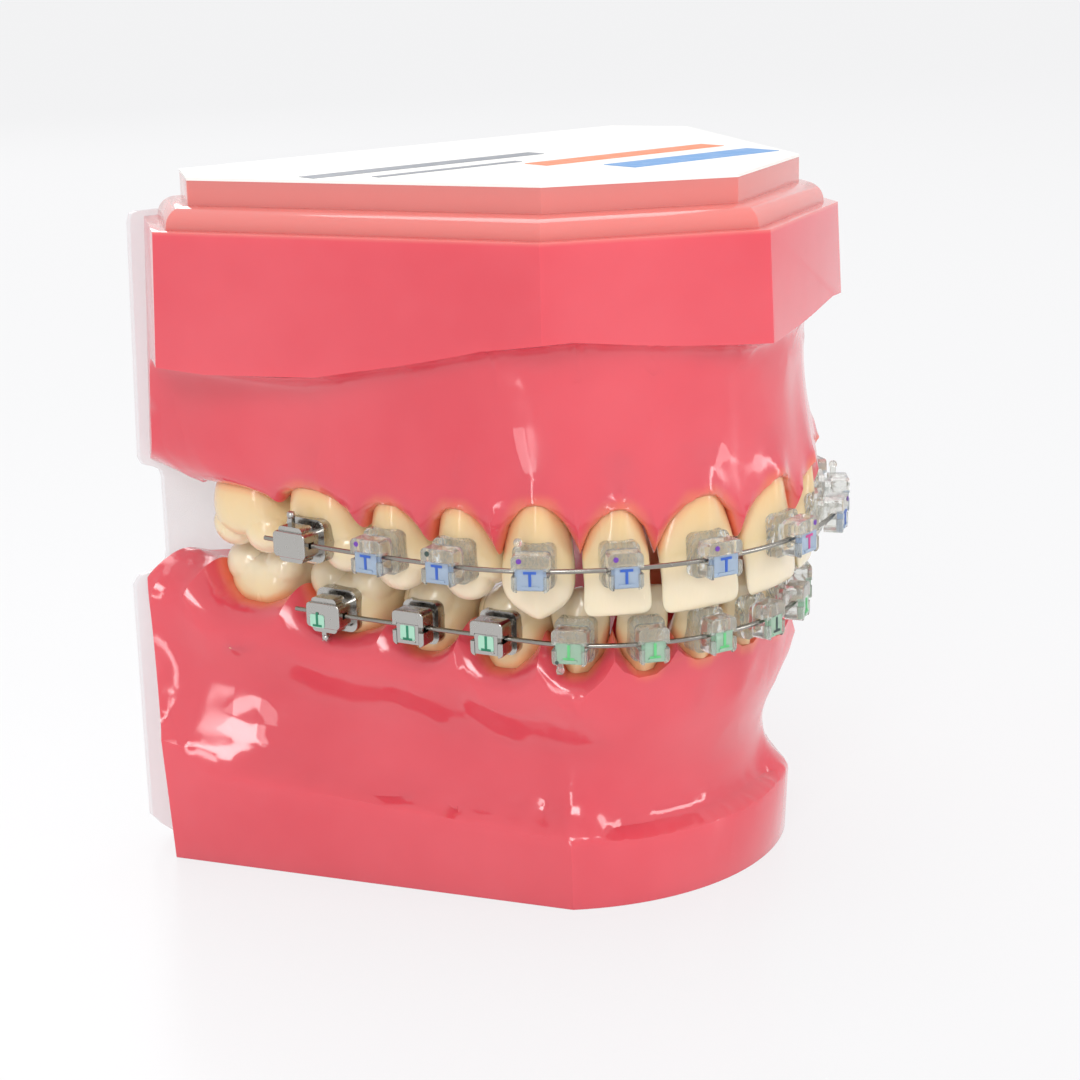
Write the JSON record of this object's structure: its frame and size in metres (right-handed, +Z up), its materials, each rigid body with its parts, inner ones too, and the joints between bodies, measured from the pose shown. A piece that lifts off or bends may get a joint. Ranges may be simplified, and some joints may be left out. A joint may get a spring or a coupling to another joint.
{
  "type": "orthodontic bracket demonstration model",
  "caption": "Hinged pair of pink resin dental casts with ivory teeth, sliding-door brackets, molar tubes and archwires, joined at the back by a clear hinge sheet.",
  "frame": {"origin": "centre of the lower cast's flat underside, on the midline", "axes": "+Z up, -Y towards the front of the mouth, +X towards the patient's left"},
  "size_m": [0.0692, 0.0522, 0.0641],
  "materials": {
    "pink_resin": "clear pink acrylic, polished",
    "tooth_ivory": "ivory tooth resin, semi-gloss",
    "bracket_clear": "translucent ceramic",
    "door_clear": "translucent ceramic",
    "bracket_steel": "fine satin",
    "wire_steel": "bright drawn wire",
    "clear_sheet": "clear flexible sheet",
    "label_paper": "satin white film"
  },
  "bodies": {
    "lower": {"lower_base": "pink_resin", "teeth_lower_incisors": "tooth_ivory", "teeth_lower_canines": "tooth_ivory", "teeth_lower_premolars": "tooth_ivory", "teeth_lower_molars": "tooth_ivory", "lower_archwire": "wire_steel", "hinge_lower_leaf": "clear_sheet", "bracket_lower_left_central": "bracket_clear", "bracket_lower_right_central": "bracket_clear", "bracket_lower_left_lateral": "bracket_clear", "bracket_lower_right_lateral": "bracket_clear", "bracket_lower_left_canine": "bracket_clear", "bracket_lower_right_canine": "bracket_clear", "bracket_lower_left_first_premolar": "bracket_steel", "bracket_lower_right_first_premolar": "bracket_steel", "bracket_lower_left_second_premolar": "bracket_steel", "bracket_lower_right_second_premolar": "bracket_steel", "tube_lower_left_first_molar": "bracket_steel", "tube_lower_right_first_molar": "bracket_steel"},
    "upper": {"upper_base": "pink_resin", "label": "label_paper", "teeth_upper_incisors": "tooth_ivory", "teeth_upper_canines": "tooth_ivory", "teeth_upper_premolars": "tooth_ivory", "teeth_upper_molars": "tooth_ivory", "upper_archwire": "wire_steel", "hinge_upper_leaf": "clear_sheet", "bracket_upper_left_central": "bracket_clear", "bracket_upper_right_central": "bracket_clear", "bracket_upper_left_lateral": "bracket_clear", "bracket_upper_right_lateral": "bracket_clear", "bracket_upper_left_canine": "bracket_clear", "bracket_upper_right_canine": "bracket_clear", "bracket_upper_left_first_premolar": "bracket_clear", "bracket_upper_right_first_premolar": "bracket_clear", "bracket_upper_left_second_premolar": "bracket_clear", "bracket_upper_right_second_premolar": "bracket_clear", "tube_upper_left_first_molar": "bracket_steel", "tube_upper_right_first_molar": "bracket_steel"},
    "door_upper_left_central": {"door_upper_left_central": "door_clear"},
    "door_upper_right_central": {"door_upper_right_central": "door_clear"},
    "door_upper_left_lateral": {"door_upper_left_lateral": "door_clear"},
    "door_upper_right_lateral": {"door_upper_right_lateral": "door_clear"},
    "door_upper_left_canine": {"door_upper_left_canine": "door_clear"},
    "door_upper_right_canine": {"door_upper_right_canine": "door_clear"},
    "door_upper_left_first_premolar": {"door_upper_left_first_premolar": "door_clear"},
    "door_upper_right_first_premolar": {"door_upper_right_first_premolar": "door_clear"},
    "door_upper_left_second_premolar": {"door_upper_left_second_premolar": "door_clear"},
    "door_upper_right_second_premolar": {"door_upper_right_second_premolar": "door_clear"},
    "door_lower_left_central": {"door_lower_left_central": "door_clear"},
    "door_lower_right_central": {"door_lower_right_central": "door_clear"},
    "door_lower_left_lateral": {"door_lower_left_lateral": "door_clear"},
    "door_lower_right_lateral": {"door_lower_right_lateral": "door_clear"},
    "door_lower_left_canine": {"door_lower_left_canine": "door_clear"},
    "door_lower_right_canine": {"door_lower_right_canine": "door_clear"},
    "door_lower_left_first_premolar": {"door_lower_left_first_premolar": "bracket_steel"},
    "door_lower_right_first_premolar": {"door_lower_right_first_premolar": "bracket_steel"},
    "door_lower_left_second_premolar": {"door_lower_left_second_premolar": "bracket_steel"},
    "door_lower_right_second_premolar": {"door_lower_right_second_premolar": "bracket_steel"}
  },
  "joints": [
    {"name": "jaw_hinge", "type": "hinge", "parent": "lower", "child": "upper", "pos_m": [0, 0.02585, 0.031], "axis": [-1, 0, 0], "range_deg": [0, 100]},
    {"name": "slide_upper_left_central", "type": "slide", "parent": "upper", "child": "door_upper_left_central", "axis": [0, 0, -1], "range_m": [0, 0.00072]},
    {"name": "slide_upper_right_central", "type": "slide", "parent": "upper", "child": "door_upper_right_central", "axis": [0, 0, -1], "range_m": [0, 0.00072]},
    {"name": "slide_upper_left_lateral", "type": "slide", "parent": "upper", "child": "door_upper_left_lateral", "axis": [0, 0, -1], "range_m": [0, 0.00072]},
    {"name": "slide_upper_right_lateral", "type": "slide", "parent": "upper", "child": "door_upper_right_lateral", "axis": [0, 0, -1], "range_m": [0, 0.00072]},
    {"name": "slide_upper_left_canine", "type": "slide", "parent": "upper", "child": "door_upper_left_canine", "axis": [0, 0, -1], "range_m": [0, 0.00072]},
    {"name": "slide_upper_right_canine", "type": "slide", "parent": "upper", "child": "door_upper_right_canine", "axis": [0, 0, -1], "range_m": [0, 0.00072]},
    {"name": "slide_upper_left_first_premolar", "type": "slide", "parent": "upper", "child": "door_upper_left_first_premolar", "axis": [0, 0, -1], "range_m": [0, 0.00072]},
    {"name": "slide_upper_right_first_premolar", "type": "slide", "parent": "upper", "child": "door_upper_right_first_premolar", "axis": [0, 0, -1], "range_m": [0, 0.00072]},
    {"name": "slide_upper_left_second_premolar", "type": "slide", "parent": "upper", "child": "door_upper_left_second_premolar", "axis": [0, 0, -1], "range_m": [0, 0.00072]},
    {"name": "slide_upper_right_second_premolar", "type": "slide", "parent": "upper", "child": "door_upper_right_second_premolar", "axis": [0, 0, -1], "range_m": [0, 0.00072]},
    {"name": "slide_lower_left_central", "type": "slide", "parent": "lower", "child": "door_lower_left_central", "axis": [0, 0, -1], "range_m": [0, 0.00072]},
    {"name": "slide_lower_right_central", "type": "slide", "parent": "lower", "child": "door_lower_right_central", "axis": [0, 0, -1], "range_m": [0, 0.00072]},
    {"name": "slide_lower_left_lateral", "type": "slide", "parent": "lower", "child": "door_lower_left_lateral", "axis": [0, 0, -1], "range_m": [0, 0.00072]},
    {"name": "slide_lower_right_lateral", "type": "slide", "parent": "lower", "child": "door_lower_right_lateral", "axis": [0, 0, -1], "range_m": [0, 0.00072]},
    {"name": "slide_lower_left_canine", "type": "slide", "parent": "lower", "child": "door_lower_left_canine", "axis": [0, 0, -1], "range_m": [0, 0.00072]},
    {"name": "slide_lower_right_canine", "type": "slide", "parent": "lower", "child": "door_lower_right_canine", "axis": [0, 0, -1], "range_m": [0, 0.00072]},
    {"name": "slide_lower_left_first_premolar", "type": "slide", "parent": "lower", "child": "door_lower_left_first_premolar", "axis": [0, 0, -1], "range_m": [0, 0.00072]},
    {"name": "slide_lower_right_first_premolar", "type": "slide", "parent": "lower", "child": "door_lower_right_first_premolar", "axis": [0, 0, -1], "range_m": [0, 0.00072]},
    {"name": "slide_lower_left_second_premolar", "type": "slide", "parent": "lower", "child": "door_lower_left_second_premolar", "axis": [0, 0, -1], "range_m": [0, 0.00072]},
    {"name": "slide_lower_right_second_premolar", "type": "slide", "parent": "lower", "child": "door_lower_right_second_premolar", "axis": [0, 0, -1], "range_m": [0, 0.00072]}
  ]
}
